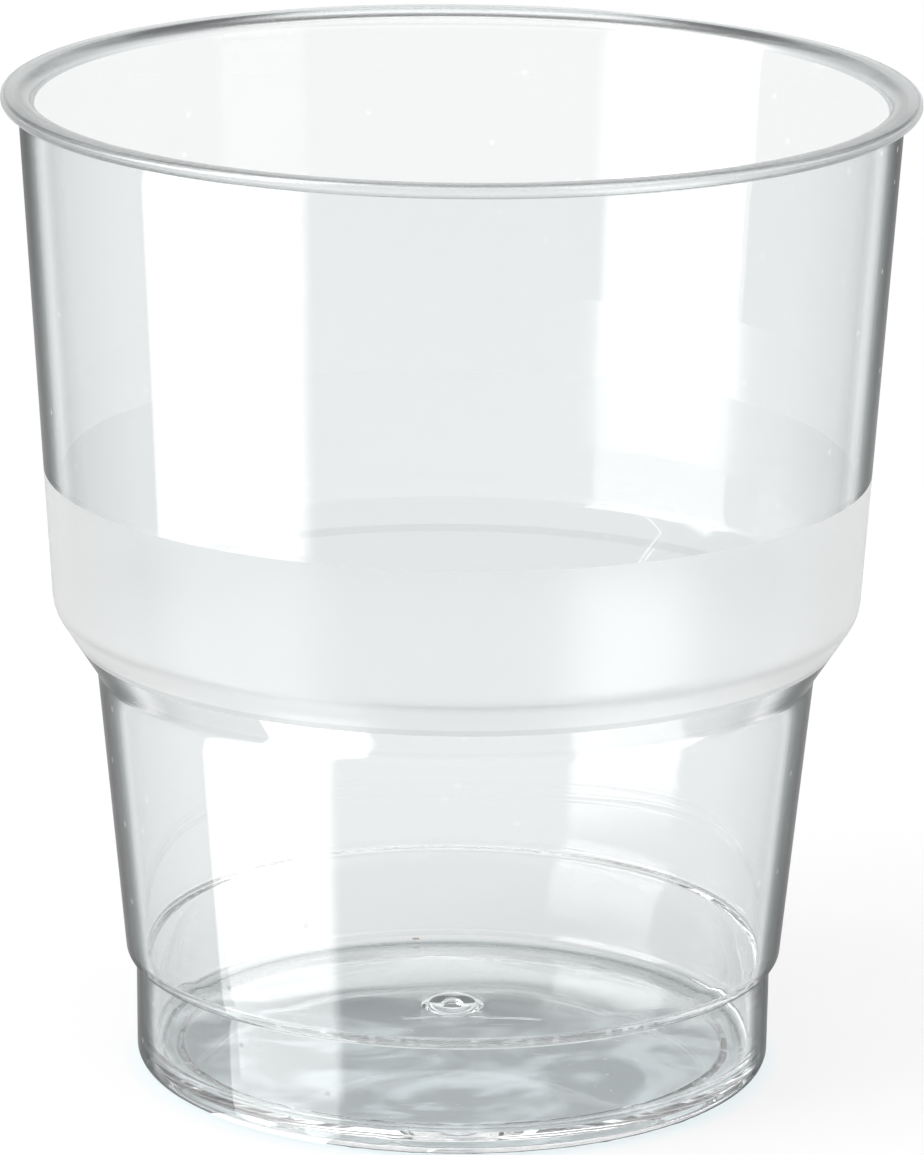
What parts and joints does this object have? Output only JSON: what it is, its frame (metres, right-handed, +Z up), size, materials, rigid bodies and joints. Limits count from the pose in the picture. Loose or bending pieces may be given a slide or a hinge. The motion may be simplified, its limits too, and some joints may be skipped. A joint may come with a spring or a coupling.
{
  "type": "plastic cup",
  "caption": "Clear plastic tumbler moulded in one piece: flared lip, frosted band, sloping stacking shoulder, narrow foot and a domed floor.",
  "frame": {"origin": "on the cup's axis, in the plane of the standing ring", "axes": "+Z up along the cup's axis, from the foot to the lip; the cup is round, so +X and +Y may point anywhere round it"},
  "size_m": [0.08, 0.08, 0.088],
  "materials": {
    "clear_plastic": "clear and glossy, with a finely frosted band round the upper wall"
  },
  "bodies": {
    "root": {"tumbler": "clear_plastic"}
  },
  "joints": []
}
